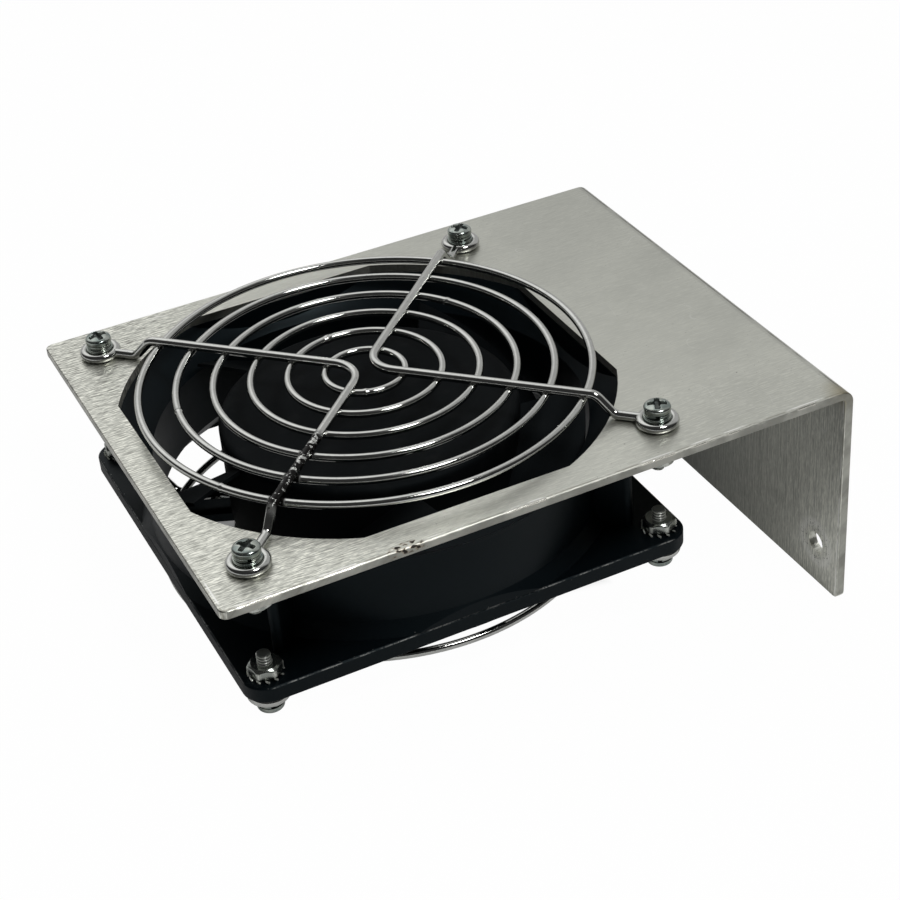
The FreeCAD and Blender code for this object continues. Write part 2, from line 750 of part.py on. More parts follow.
pieces = {
    "mounting_bracket": [mounting_bracket()],
    "fan_housing": [fan_housing()],
    "bearing_tube": [bearing_tube()],
    "upper_bearing": [bearing(upper_bearing_bottom)],
    "lower_bearing": [bearing(lower_bearing_bottom)],
    "bearing_cap": [bearing_cap()],
    "stator_core": [stator_core()],
    "coil_bobbins": coil_bobbins(),
    "stator_windings": stator_windings(),
    "motor_leads": motor_leads(),
    "terminal_block": [terminal_block()],
    "spade_terminals": spade_terminals(),
    "impeller": [impeller()],
    "rotor_cup": [rotor_cup()],
    "rotor_core": [rotor_core()],
    "rotor_cage": [rotor_cage()],
    "shaft_bushing": [shaft_bushing()],
    "rotor_shaft": [rotor_shaft()],
    "upper_thrust_washer": [thrust_washer(upper_washer_bottom)],
    "lower_thrust_washer": [thrust_washer(lower_washer_bottom)],
    "retaining_clip": [retaining_clip()],
    "upper_guard_rings": guard_rings(),
    "upper_guard_supports": guard_supports(),
    "lower_guard_rings": [turned_over(piece) for piece in guard_rings()],
    "lower_guard_supports": [turned_over(piece) for piece in guard_supports()],
    "upper_screws": at_bolts(screw(upper_grip)),
    "upper_lock_washers": at_bolts(lock_washer()),
    "upper_flat_washers": at_bolts(flat_washer()),
    "upper_tooth_washers": at_bolts(tooth_washer(upper_grip)),
    "upper_nuts": at_bolts(nut(upper_grip)),
    "lower_screws": [turned_over(piece) for piece in at_bolts(screw(lower_grip))],
    "lower_lock_washers": [turned_over(piece) for piece in at_bolts(lock_washer())],
    "lower_flat_washers": [turned_over(piece) for piece in at_bolts(flat_washer())],
    "lower_tooth_washers": [turned_over(piece) for piece in at_bolts(tooth_washer(lower_grip))],
    "lower_nuts": [turned_over(piece) for piece in at_bolts(nut(lower_grip))],
}

os.makedirs("parts", exist_ok=True)
for name, solids in pieces.items():
    shapes = [moved(solid, -origin.x, -origin.y, -origin.z) for solid in solids]
    shape = shapes[0] if len(shapes) == 1 else Part.makeCompound(shapes)
    shape.exportStep("parts/" + name + ".step")
    volume = sum(solid.Volume for solid in shape.Solids)
    state = "valid" if shape.isValid() else "not valid"
    print(name, len(shape.Solids), "solids", round(volume, 1), "mm3", state)
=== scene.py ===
import math

import bmesh
import bpy
import numpy as np
from mathutils import Euler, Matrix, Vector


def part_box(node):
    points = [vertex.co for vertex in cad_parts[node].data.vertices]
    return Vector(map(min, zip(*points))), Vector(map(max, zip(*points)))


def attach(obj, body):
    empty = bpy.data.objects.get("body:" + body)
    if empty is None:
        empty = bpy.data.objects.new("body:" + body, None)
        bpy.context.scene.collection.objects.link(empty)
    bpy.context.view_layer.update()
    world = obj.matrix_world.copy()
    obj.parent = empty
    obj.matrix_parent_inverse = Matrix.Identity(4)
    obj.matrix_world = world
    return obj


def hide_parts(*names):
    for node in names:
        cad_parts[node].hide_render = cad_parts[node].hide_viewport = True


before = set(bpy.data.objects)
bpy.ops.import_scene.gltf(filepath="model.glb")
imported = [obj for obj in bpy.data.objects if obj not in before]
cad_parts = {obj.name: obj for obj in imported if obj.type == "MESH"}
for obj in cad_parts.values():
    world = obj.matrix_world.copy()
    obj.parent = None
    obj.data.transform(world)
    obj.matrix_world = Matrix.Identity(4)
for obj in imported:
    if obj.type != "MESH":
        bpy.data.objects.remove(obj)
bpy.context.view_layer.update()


# The bracket is one blank of aluminium sheet, sheared and punched, then folded down at one end into the
# flange that is screwed to a wall. The brushed grain runs along the sheet and over the fold. Handling has
# left short strokes, thin scratches, a scuffed front edge, brown chips and the mark of a washer.
# Painted light and shade: brighter front left, top-edge highlights, shade along the fold and at the flange
# end.
class Shade:
    """One output socket of a node. Arithmetic adds Math nodes, and node() adds a node of any other kind."""

    def __init__(self, tree, socket):
        self.tree = tree
        self.socket = socket

    def node(self, kind, settings=None, inputs=None, output=0):
        """Adds a node, sets its settings first, then gives each input its value or link."""
        made = self.tree.nodes.new("ShaderNode" + kind)
        for name, value in (settings or {}).items():
            setattr(made, name, value)
        for name, value in (inputs or {}).items():
            if isinstance(value, Shade):
                self.tree.links.new(value.socket, made.inputs[name])
            else:
                made.inputs[name].default_value = value
        return Shade(self.tree, made.outputs[output])

    def math(self, operation, *terms):
        return self.node("Math", {"operation": operation}, dict(enumerate(terms)))

    def __add__(self, other):
        return self.math("ADD", self, other)

    def __radd__(self, other):
        return self.math("ADD", other, self)

    def __sub__(self, other):
        return self.math("SUBTRACT", self, other)

    def __rsub__(self, other):
        return self.math("SUBTRACT", other, self)

    def __mul__(self, other):
        return self.math("MULTIPLY", self, other)

    def __rmul__(self, other):
        return self.math("MULTIPLY", other, self)

    def __truediv__(self, other):
        return self.math("DIVIDE", self, other)

    def __abs__(self):
        return self.math("ABSOLUTE", self)

    def rise(self, start, end):
        """0 up to start and 1 from end on, with a smooth rise between; end may lie below start."""
        inputs = {"Value": self, "From Min": start, "From Max": end}
        return self.node("MapRange", {"interpolation_type": "SMOOTHSTEP"}, inputs)

    def near(self, value, outer, inner):
        """1 within the distance inner of a value, and 0 beyond the distance outer."""
        return abs(self - value).rise(outer, inner)

    def mix(self, none, full):
        """The colour none where this value is 0, and full where it is 1."""
        none, full = [colour if isinstance(colour, Shade) else (*colour, 1) for colour in (none, full)]
        return self.node("Mix", {"data_type": "RGBA"}, {0: self, 6: none, 7: full}, 2)

    def part(self, axis):
        """The X, Y or Z part of a vector."""
        return self.node("SeparateXYZ", None, {0: self}, "XYZ".index(axis))

    def away(self, point):
        """The distance from a point."""
        return self.node("VectorMath", {"operation": "DISTANCE"}, {0: self, 1: point}, "Value")

    def noise(self, size, detail):
        """Noise from 0 to 1 on a position, in blots of the given size: one length, or one for each axis."""
        lengths = size if isinstance(size, tuple) else (size, size, size)
        scale = tuple(1 / length for length in lengths)
        place = self.node("VectorMath", {"operation": "MULTIPLY"}, {0: self, 1: scale})
        return self.node("TexNoise", None, {"Vector": place, "Scale": 1.0, "Detail": detail})


def begin_finish(name):
    """A new material with one plain shader, and the position on the piece that its pattern is made from."""
    finish = bpy.data.materials.new(name)
    finish.use_nodes = True
    place = Shade(finish.node_tree, finish.node_tree.nodes.new("ShaderNodeTexCoord").outputs["Object"])
    return finish, place


def layered(colour, *coats):
    """Lays coats over a colour. Each coat is how far it covers, from 0 to 1, and its own colour."""
    for cover, coat in coats:
        colour = cover.mix(colour, coat)
    return colour


def rough_skin(height, depth):
    """A bump of the given depth in metres, from a height between 0 and 1."""
    return height.node("Bump", None, {"Height": height, "Distance": depth, "Strength": 1.0})


def end_finish(finish, inputs):
    """Gives the shader's sockets their values or links."""
    shader = finish.node_tree.nodes["Principled BSDF"]
    for name, value in inputs.items():
        if isinstance(value, Shade):
            finish.node_tree.links.new(value.socket, shader.inputs[name])
        else:
            shader.inputs[name].default_value = value


def dress(finish, *nodes):
    """Puts a finish on nodes that keep their own shape."""
    for name in nodes:
        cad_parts[name].material_slots[0].material = finish


plate_low, plate_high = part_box("mounting_bracket")
sheet_thickness = 0.0023
edge_break = 0.00025
mount_hole = (plate_high.x - sheet_thickness, -0.055, 0.0)
bend_corner = (plate_high.x, plate_low.y, plate_high.z)
fold_x = plate_high.x - 0.0022
scuff_inset = 0.0009
dark_line_inset = 0.0006
chip_middle = (plate_low.x + 0.0442, plate_low.y + 0.0004)
chip_reach = (0.0044, 0.0020)

brushed, place = begin_finish("brushed_aluminium")
x, y, z = place.part("X"), place.part("Y"), place.part("Z")
sheet_place = place.node("CombineXYZ", None, {"X": x - z, "Y": y})
streaks = sheet_place.noise((0.030, 0.0006, 1.0), 4.0)
strokes = sheet_place.noise((0.0042, 0.00038, 1.0), 3.0)
flecks = sheet_place.noise((0.0016, 0.00034, 1.0), 1.0)
clouds = sheet_place.noise((0.022, 0.017, 1.0), 3.0)
specks = place.noise(0.0006, 2.0)
along_edge = place.noise(0.009, 4.0)

left_half = x.rise(plate_low.x + 0.058, plate_low.x + 0.020)
back_half = y.rise(0.0, plate_high.y - 0.015)
front_strip = y.rise(plate_low.y + 0.030, plate_low.y + 0.012)
on_flange = z.rise(plate_high.z - sheet_thickness - 0.0005, plate_high.z - 0.010)
# Painted shade: the far end of the flange is darkened, where the fan shades it.
flange_far_shade = on_flange * y.rise(plate_low.y + 0.005, plate_high.y - 0.030)

worn = 0.90 * left_half + 0.10 * front_strip + 0.10 + 0.35 * on_flange
grain = strokes * 0.66 + flecks * 0.34
bright_strokes = grain.rise(0.51, 0.60) * worn
dark_strokes = grain.rise(0.49, 0.40) * worn
wander = place.noise(0.020, 1.0)
seldom = place.noise(0.009, 0.0)
scratches = wander.near(0.5, 0.0030, 0.0004) * seldom.rise(0.57, 0.66)
dents = place.noise((0.0026, 0.0014, 0.0014), 2.0) * x.rise(plate_low.x + 0.040, plate_low.x + 0.018)

edge_gap = x.math("MINIMUM", y - plate_low.y, plate_high.y - y)
edge_gap = x.math("MINIMUM", edge_gap, x - plate_low.x)
edge_face = edge_gap.rise(0.00012, 0.00005)
upper_edge = z.rise(plate_high.z - 0.0006, plate_high.z - 0.0003)
# A bright line along the rounded top edges: partly worn bright, partly a painted highlight.
edge_wear_and_highlight = edge_gap.rise(1.3 * edge_break, 0.8 * edge_break) * upper_edge * along_edge.rise(0.44, 0.58)
scuffed_line = edge_gap.near(scuff_inset, 0.00030, 0.00010) * along_edge.rise(0.48, 0.56) * front_strip
# A thin dark line along the front edge, just inside the bright edge line.
front_edge_dark_line = edge_gap.near(dark_line_inset, 0.00030, 0.00010) * along_edge.rise(0.50, 0.42) * front_strip
# Painted shade: a dark line along the fold.
fold_shade_line = x.near(fold_x, 0.0005, 0.0001) * z.rise(plate_high.z - 0.0020, plate_high.z - 0.0010)
fold_shade_line = fold_shade_line * along_edge.rise(0.38, 0.60)

chip_x = (x - chip_middle[0]) / chip_reach[0]
chip_y = (y - chip_middle[1]) / chip_reach[1]
chip_zone = (chip_x * chip_x + chip_y * chip_y).rise(1.2, 0.6)
chip_zone = chip_zone * z.rise(plate_high.z - 0.0018, plate_high.z - 0.0010)
blotch = place.noise((0.0017, 0.0011, 0.0011), 2.0)
chips = chip_zone * blotch.rise(0.53, 0.56)
rusty = chip_zone * blotch.rise(0.44, 0.54)

from_hole = place.away(mount_hole)
washer_mark = from_hole.rise(0.0078, 0.0062) * from_hole.rise(0.0040, 0.0056)
washer_mark = washer_mark * (0.45 + 0.55 * strokes.rise(0.3, 0.6))
dirt = specks.rise(0.62, 0.68) * from_hole.rise(0.0080, 0.0045) * 0.8
dirt = dirt + specks.rise(0.70, 0.74) * clouds.rise(0.45, 0.60) * 0.5
stain = x.math("MINIMUM", chips + dirt, 1.0)
browned = place.away(bend_corner).rise(0.0095, 0.0020) * clouds.rise(0.30, 0.55)

# Painted light: the plate is made brighter towards the front left, where the light falls most.
painted_front_left_light = 0.65 * x.rise(plate_high.x - 0.020, plate_low.x + 0.010)
painted_front_left_light = painted_front_left_light + 0.35 * y.rise(plate_high.y, plate_low.y)
tone = 0.24 * streaks + 0.40 * clouds + 0.03 + 0.36 * painted_front_left_light + 0.20 * on_flange
tone = tone + 1.6 * on_flange * (streaks - 0.5)
edge_metal = along_edge.rise(0.36, 0.60).mix((0.20, 0.20, 0.178), (0.36, 0.36, 0.325))
metal = layered(
    tone.mix((0.345, 0.351, 0.320), (0.76, 0.766, 0.69)),
    (bright_strokes * 0.90, (0.98, 0.98, 0.89)),
    (dark_strokes * (0.62 + 0.38 * back_half), (0.24, 0.24, 0.215)),
    # painted shade at the far end of the flange
    (flange_far_shade * 0.95, (0.080, 0.086, 0.080)),
    (browned * 0.75, (0.28, 0.235, 0.13)),
    (scratches * 0.25, (0.82, 0.82, 0.80)),
    # painted shade along the fold
    (fold_shade_line * 0.75, (0.10, 0.092, 0.072)),
    (washer_mark * 0.60, (0.86, 0.86, 0.82)),
    (edge_face * 0.80, edge_metal),
    # the top edges, worn bright and with a painted highlight
    (edge_wear_and_highlight * 0.62, (0.96, 0.94, 0.84)),
    (scuffed_line * 0.75, (0.95, 0.95, 0.92)),
    # a thin dark line along the front edge
    (front_edge_dark_line * 0.50, (0.19, 0.175, 0.13)),
    (rusty * 0.6, (0.30, 0.22, 0.13)),
    (stain, (0.016, 0.011, 0.007)),
)
end_finish(brushed, {
    "Base Color": metal,
    "Metallic": 0.90 - 0.7 * stain,
    "Roughness": 0.38 + 0.18 * (streaks - 0.5) + 0.10 * (clouds - 0.5) - 0.14 * edge_wear_and_highlight + 0.25 * stain,
    "Normal": rough_skin(streaks * 0.3 + grain * 0.7 + scratches * 0.3 + dents * 1.6, 0.00004),
})
dress(brushed, "mounting_bracket")


# The fan housing is one aluminium die casting, painted satin black: a round barrel between two square
# flanges with a rib in each open corner, and a spider below that holds the motor. Knocks have bared the
# metal along the edge of the lower flange.
housing_low, housing_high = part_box("fan_housing")
fan_x = (housing_low.x + housing_high.x) / 2
fan_half = housing_high.x - fan_x
lower_flange_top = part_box("lower_tooth_washers")[0].z

black_paint, place = begin_finish("satin_black_paint")
x, y, z = place.part("X"), place.part("Y"), place.part("Z")
fine = place.noise(0.0005, 2.0)
broad = place.noise(0.012, 3.0)
rubbed = place.noise(0.007, 4.0)
crumbs = place.noise(0.0008, 2.0)
rim_gap = fan_half - x.math("MAXIMUM", abs(x - fan_x), abs(y))
ledge = z.near(lower_flange_top - 0.0001, 0.00030, 0.00012) * rim_gap.rise(0.00035, 0.00015)
ledge = ledge * rubbed.rise(0.40, 0.58) * crumbs.rise(0.30, 0.55)
nicks = z.near(lower_flange_top, 0.0010, 0.0004) * rim_gap.rise(0.0014, 0.0004) * crumbs.rise(0.70, 0.74)
bare = x.math("MINIMUM", ledge * 0.6 + nicks * 0.35, 1.0)
paint = broad.mix((0.0010, 0.0021, 0.0030), (0.0024, 0.0045, 0.0060))
end_finish(black_paint, {
    "Base Color": bare.mix(paint, (0.42, 0.42, 0.40)),
    "Metallic": bare * 0.8,
    "Roughness": 0.30 + 0.14 * broad + 0.06 * fine,
    "Specular IOR Level": 0.14,
    "Specular Tint": (0.72, 0.92, 1.0, 1),
    "Normal": rough_skin(fine * 0.6 + broad * 0.4, 0.00003),
})
dress(black_paint, "fan_housing")


# The motor stands on the spider: a bearing tube with two bronze sleeves, a laminated stator with four wound
# poles, and a squirrel-cage rotor in a steel cup on a ground shaft. The leads run out along one arm of the
# spider to two brass tabs in a plastic block on the housing.
def plain_finish(name, dark, light, size, dullness, metallic):
    """A finish whose colour, gloss and skin vary a little, in blots of the given size."""
    finish, place = begin_finish(name)
    blots = place.noise(size, 3.0)
    end_finish(finish, {
        "Base Color": blots.rise(0.25, 0.75).mix(dark, light),
        "Metallic": metallic,
        "Roughness": dullness - 0.08 + 0.16 * blots,
        "Normal": rough_skin(blots, 0.00002),
    })
    return finish


laminations = (0.004, 0.004, 0.0005)
grinding = (0.004, 0.004, 0.0002)
turns_of_wire = (0.003, 0.003, 0.0004)
fine_grain = 0.0006
core_steel = plain_finish(
    "laminated_steel", (0.10, 0.095, 0.09), (0.24, 0.235, 0.225), laminations, 0.45, 0.85)
cage_metal = plain_finish(
    "cast_aluminium", (0.38, 0.38, 0.37), (0.56, 0.56, 0.54), fine_grain, 0.50, 0.90)
bright_steel = plain_finish(
    "ground_steel", (0.42, 0.42, 0.41), (0.60, 0.60, 0.58), grinding, 0.26, 0.95)
bronze = plain_finish(
    "sintered_bronze", (0.30, 0.17, 0.07), (0.46, 0.29, 0.13), fine_grain, 0.42, 0.90)
brass = plain_finish(
    "tinned_brass", (0.46, 0.36, 0.17), (0.66, 0.55, 0.30), fine_grain, 0.32, 0.92)
copper = plain_finish(
    "varnished_copper", (0.22, 0.07, 0.022), (0.40, 0.145, 0.05), turns_of_wire, 0.34, 0.75)
white_moulding = plain_finish(
    "white_nylon", (0.58, 0.57, 0.52), (0.68, 0.67, 0.62), fine_grain, 0.48, 0.0)
black_moulding = plain_finish(
    "black_nylon", (0.010, 0.010, 0.011), (0.022, 0.022, 0.023), fine_grain, 0.46, 0.0)
lead_sleeve = plain_finish(
    "lead_insulation", (0.030, 0.030, 0.032), (0.060, 0.060, 0.062), fine_grain, 0.52, 0.0)
dress(core_steel, "stator_core", "rotor_core", "rotor_cup")
dress(cage_metal, "rotor_cage")
dress(bright_steel, "rotor_shaft", "retaining_clip")
dress(bronze, "upper_bearing", "lower_bearing")
dress(brass, "spade_terminals", "shaft_bushing", "bearing_tube")
dress(copper, "stator_windings")
dress(white_moulding, "coil_bobbins", "upper_thrust_washer", "lower_thrust_washer")
dress(black_moulding, "terminal_block", "bearing_cap")
dress(lead_sleeve, "motor_leads")


# The impeller is one black glass-filled moulding, a closed hub with a ring of twisted blades, pressed over
# the rotor's steel cup. Its skin is finely grained, with a little dust on the upper part.
hub_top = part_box("impeller")[1].z
moulded, place = begin_finish("grained_black_moulding")
grained = place.noise(0.0004, 2.0)
dusty = place.noise(0.007, 4.0)
dust = dusty.rise(0.50, 0.74) * place.part("Z").rise(hub_top - 0.010, hub_top - 0.002)
moulding = dusty.mix((0.0022, 0.0028, 0.0032), (0.0044, 0.0052, 0.0058))
end_finish(moulded, {
    "Base Color": (dust * 0.15).mix(moulding, (0.026, 0.026, 0.025)),
    "Roughness": 0.52 + 0.10 * dusty + 0.06 * grained,
    "Specular IOR Level": 0.06,
    "Specular Tint": (0.78, 0.94, 1.0, 1),
    "Normal": rough_skin(grained * 0.7 + dusty * 0.3, 0.00003),
})
dress(moulded, "impeller")


# Each finger guard has six rings of 2 mm steel wire. A ring is a length of wire bent round and butt-welded,
# so a small swelling shows where its ends meet. The whole guard is bright plated after it is welded, and one
# arm of the upper guard is sooted.
def circle(count):
    """Angles once round, without the last, which is the first again."""
    return np.linspace(0, 2 * np.pi, count, endpoint=False)


def grid_faces(rows, columns, rows_close):
    """The quads of a grid whose columns always close round, numbered row by row; its rows may close too."""
    row_numbers = np.arange(rows if rows_close else rows - 1)
    row, column = np.meshgrid(row_numbers, np.arange(columns), indexing="ij")
    start = row * columns
    next_start = (row + 1) % rows * columns
    right = (column + 1) % columns
    corners = (start + column, start + right, next_start + right, next_start + column)
    return np.stack(corners, axis=-1).reshape(-1, 4)


def build_piece(name, shapes, finish, replaced):
    """Makes one piece of the fixed body, in place of a node. Each shape is a grid of points and whether its
    rows close round."""
    points = []
    faces = []
    count = 0
    for grid, rows_close in shapes:
        rows, columns = grid.shape[:2]
        points.append(grid.reshape(-1, 3))
        faces.append(grid_faces(rows, columns, rows_close) + count)
        count += rows * columns
    mesh = bpy.data.meshes.new(name)
    mesh.from_pydata(np.concatenate(points).tolist(), [], np.concatenate(faces).tolist())
    shell = bmesh.new()
    shell.from_mesh(mesh)
    bmesh.ops.remove_doubles(shell, verts=shell.verts, dist=0.000002)
    bmesh.ops.recalc_face_normals(shell, faces=shell.faces)
    shell.to_mesh(mesh)
    shell.free()
    mesh.polygons.foreach_set("use_smooth", np.ones(len(mesh.polygons), dtype=bool))
    mesh.set_sharp_from_angle(angle=math.radians(38))
    mesh.materials.append(finish)
    piece = bpy.data.objects.new(name, mesh)
    bpy.context.scene.collection.objects.link(piece)
    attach(piece, "frame")
    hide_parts(replaced)


def ring_places(guard):
    """The radii of a guard's rings, and the height of their middle."""
    low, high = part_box(guard + "_guard_rings")
    outer_ring_radius = (high.x - low.x - ring_wire) / 2
    return np.linspace(inner_ring_radius, outer_ring_radius, len(weld_angles)), (low.z + high.z) / 2


def wire_ring(radius, height, weld_angle):
    """A circle of wire carried round a ring. The wire is thicker by a soft bump at the weld, where the rows
    of the grid crowd together: the angle from the weld is t less a share of the sine of t."""
    t = circle(260)[:, None]
    round_wire = circle(14)[None, :]
    from_weld = t - weld_crowding * np.sin(t)
    arc = radius * np.minimum(from_weld, 2 * np.pi - from_weld)
    thick = ring_wire / 2 + weld_bump * np.exp(-(arc / weld_length) ** 2)
    out = radius + thick * np.cos(round_wire)
    turn = from_weld + weld_angle
    rise = height + thick * np.sin(round_wire)
    return np.stack((fan_x + out * np.cos(turn), out * np.sin(turn), rise), axis=-1)


ring_wire = 0.0020
inner_ring_radius = 0.010
weld_angles = [math.radians(degrees) for degrees in (247, 96, 318, 31, 171, 209.6)]
weld_crowding = 0.92
weld_bump = 0.00014
weld_length = 0.0005
diagonal = math.sqrt(0.5)

chrome, place = begin_finish("bright_plated_wire")
smears = place.noise(0.003, 3.0)
pits = place.noise(0.0005, 1.0)
blotches = place.noise(0.0011, 3.0)
out_x = place.part("X") - fan_x
out_y = place.part("Y")
towards_corner = -diagonal * (out_x + out_y)
beside_arm = diagonal * abs(out_x - out_y)
sooted = towards_corner.rise(0.0295, 0.0325) * towards_corner.rise(0.0620, 0.0590)
sooted = sooted * beside_arm.rise(0.0024, 0.0016)
sooted = sooted * place.part("Z").rise(plate_high.z + 0.0010, plate_high.z + 0.0018)
soot = sooted * (blotches + 0.05 * towards_corner.rise(0.045, 0.051)).rise(0.42, 0.47)
plating = layered(
    smears.mix((0.46, 0.465, 0.45), (0.63, 0.635, 0.605)),
    (pits.rise(0.66, 0.74) * 0.5, (0.22, 0.21, 0.19)),
    (soot, (0.004, 0.0035, 0.003)),
)
end_finish(chrome, {
    "Base Color": plating,
    "Metallic": 1.0 - 0.85 * soot,
    "Specular IOR Level": 0.12,
    "Roughness": 0.06 + 0.09 * smears + 0.10 * soot,
    "Normal": rough_skin(smears * 0.4 + pits * 0.2 + soot * 0.9, 0.00003),
})
for guard in ("upper", "lower"):
    radii, height = ring_places(guard)
    rings = [(wire_ring(radius, height, weld), True) for radius, weld in zip(radii, weld_angles)]
    build_piece(guard + "_rings", rings, chrome, guard + "_guard_rings")


# Two support wires of 2.4 mm steel carry the rings of each guard. Each is bent to a right angle by the axis,
# stepped down at both ends, and closed into an eye round a screw. Every crossing is a resistance weld, which
# leaves a small nugget between the two wires.
def unit(vector):
    return vector / np.linalg.norm(vector)


def bent_line(corners, bend_radii):
    """Points along a bent wire: straight runs, and at each corner an arc that touches both of its runs."""
    points = [corners[:1]]
    for before, corner, after, bend in zip(corners, corners[1:], corners[2:], bend_radii):
        arriving = unit(corner - before)
        leaving = unit(after - corner)
        turn = math.acos(arriving @ leaving)
        inward = unit(leaving - arriving)
        middle = corner + inward * bend / math.cos(turn / 2)
        swing = np.linspace(-turn / 2, turn / 2, 11)[:, None]
        points.append(middle + bend * (unit(arriving + leaving) * np.sin(swing) - inward * np.cos(swing)))
    points.append(corners[-1:])
    return np.concatenate(points)


def wire_along(path):
    """A circle carried along a path. It stands square to the path on a level spoke and one square to that,
    and a last point closes each end."""
    heading = np.gradient(path, axis=0)
    heading /= np.linalg.norm(heading, axis=1)[:, None]
    level = np.cross(heading, (0.0, 0.0, 1.0))
    level /= np.linalg.norm(level, axis=1)[:, None]
    upright = np.cross(level, heading)
    angle = circle(16)[None, :, None]
    spokes = level[:, None] * np.cos(angle) + upright[:, None] * np.sin(angle)
    tube = path[:, None] + support_wire / 2 * spokes
    start = np.broadcast_to(path[0], tube[:1].shape)
    end = np.broadcast_to(path[-1], tube[:1].shape)
    return np.concatenate((start, tube, end))


def wire_eye(centre):
    """A circle of wire carried once round a bolt."""
    turn = circle(64)[:, None]
    angle = circle(16)[None, :]
    out = eye_radius + support_wire / 2 * np.cos(angle)
    rise = centre[2] + support_wire / 2 * np.sin(angle) + 0 * turn
    return np.stack((centre[0] + out * np.cos(turn), centre[1] + out * np.sin(turn), rise), axis=-1)


def nugget(centre):
    """An egg shape: a half circle from pole to pole, turned round the upright axis and scaled to size."""
    fall = np.linspace(0, np.pi, 7)[:, None]
    turn = circle(10)[None, :]
    across = np.sin(fall)
    ball = np.stack((across * np.cos(turn), across * np.sin(turn), np.cos(fall) + 0 * turn), axis=-1)
    return centre + np.asarray(nugget_size) * ball


support_wire = 0.0024
bolt_reach = 0.0524
eye_radius = 0.0041
foot_length = 0.0105
step_length = 0.0046
bend_radius = 0.003
vee_radius = 0.0077
nugget_size = (0.0014, 0.0014, 0.0008)
bolt_circle = bolt_reach * math.sqrt(2)
foot_start = bolt_circle - foot_length
arm_end = foot_start - step_length
reaches = (bolt_circle - eye_radius, foot_start, arm_end)
bends = (bend_radius, bend_radius, vee_radius, bend_radius, bend_radius)
axis = np.array((fan_x, 0, 0))
for guard, outward in (("upper", 1), ("lower", -1)):
    low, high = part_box(guard + "_guard_supports")
    seat, crest = (low.z, high.z) if outward == 1 else (high.z, low.z)
    foot_height = seat + outward * support_wire / 2
    arm_height = crest - outward * support_wire / 2
    heights = (foot_height, foot_height, arm_height)
    radii, ring_height = ring_places(guard)
    weld_height = (ring_height + arm_height) / 2
    shapes = []
    for side in (1, -1):
        arms = np.array(((side, 1, 0), (side, -1, 0))) / math.sqrt(2)
        ends = [[axis + arm * reach + (0, 0, z) for reach, z in zip(reaches, heights)] for arm in arms]
        corners = np.array(ends[0] + [axis + (0, 0, arm_height)] + ends[1][::-1])
        shapes.append((wire_along(bent_line(corners, bends)), False))
        for arm in arms:
            shapes.append((wire_eye(axis + arm * bolt_circle + (0, 0, foot_height)), True))
            shapes += [(nugget(axis + arm * radius + (0, 0, weld_height)), False) for radius in radii]
    build_piece(guard + "_supports", shapes, chrome, guard + "_guard_supports")


# Eight zinc-plated machine screws hold the guards, each on a split and a flat washer over the guard's eye.
# They have rolled pan heads with a cross recess, and a rolled thread whose end stands out of the nut. Dirt
# and painted shade darken the recess and the thread, and painted light makes the zinc between the flanges
# pale.
def eye_seat(outward):
    """The height of the face that the eyes of a guard sit on."""
    return plate_high.z if outward == 1 else housing_low.z


def heights_over_seat(node, outward):
    """The lower and upper end of a node, counted outwards from the seat of the eyes."""
    low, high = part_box(node)
    return sorted(outward * (end.z - eye_seat(outward)) for end in (low, high))


def at_bolts(outward, turns, shape):
    """One copy of a shape for each bolt, each with its own turn. A shape is made on the axis, with heights
    counted from the seat, and the lower guard's are turned over."""
    places = zip(bolts, turns)
    return [shape(turn) * (1, 1, outward) + (x, y, eye_seat(outward)) for (x, y), turn in places]


def fade(gap, width):
    """1 well below a gap of 0 and 0 well above it, by a logistic curve of the given width."""
    return 1 / (1 + np.exp(gap / width))


def screw_surface(seat, end, turn):
    """A turned surface about the axis, from the middle of the head to the middle of the end. The head is a
    squared-off ellipse, sunk by two crossed slots that grow shallow outwards; the thread is a saw wave of
    height less turn, cut off by the chamfer at the end."""
    angle = circle(96)[None, :]
    fall = np.linspace(0, np.pi / 2, 44)[:, None]
    out = head_radius * np.sin(fall) ** head_shoulder
    rise = seat + head_side + (head_height - head_side) * np.cos(fall) ** head_crown
    x = np.abs(out * np.cos(angle - turn))
    y = np.abs(out * np.sin(angle - turn))
    slot_x = fade(y - recess_width / 2, recess_wall) * fade(x - recess_reach, 2 * recess_wall)
    slot_y = fade(x - recess_width / 2, recess_wall) * fade(y - recess_reach, 2 * recess_wall)
    heart = fade(x + y - recess_heart, heart_wall)
    sunk = np.maximum(np.maximum(slot_x, slot_y), heart) * (recess_depth - recess_slope * out)
    head = np.stack((out * np.cos(angle), out * np.sin(angle), rise - sunk), axis=-1)
    neck = (seat, seat, seat - neck_length)
    z = np.concatenate((neck, np.linspace(end + thread_length, end, 96)))[:, None]
    wave = np.abs((z / thread_pitch - angle / (2 * np.pi)) % 1 - 0.5) * 2
    chamfer = thread_radius - end_chamfer + (z - end)
    core = np.minimum(thread_radius - thread_depth * (1 - wave), chamfer)
    core[0] = head_radius
    core[1:3] = thread_radius - thread_depth / 2
    shank = np.stack((core * np.cos(angle), core * np.sin(angle), z + 0 * angle), axis=-1)
    tip = np.zeros((1, angle.size, 3))
    tip[..., 2] = end
    return np.concatenate((head, shank, tip))


head_radius = 0.0033
head_height = 0.0019
head_side = 0.0007
head_shoulder = 0.85
head_crown = 0.80
recess_width = 0.0011
recess_reach = 0.0022
recess_depth = 0.0018
recess_heart = 1.35 * recess_width
recess_slope = 0.38
recess_wall = 0.00003
heart_wall = 0.00004
neck_length = 0.004
thread_radius = 0.00175
thread_depth = 0.0004
thread_pitch = 0.000794
thread_length = 0.0072
end_chamfer = 0.0003
bolts = [(fan_x + x * bolt_reach, y * bolt_reach) for x, y in ((-1, -1), (1, -1), (1, 1), (-1, 1))]
turns = {1: (0.62, 1.10, 0.75, 0.15), -1: (0.24, 1.05, -0.75, -0.15)}

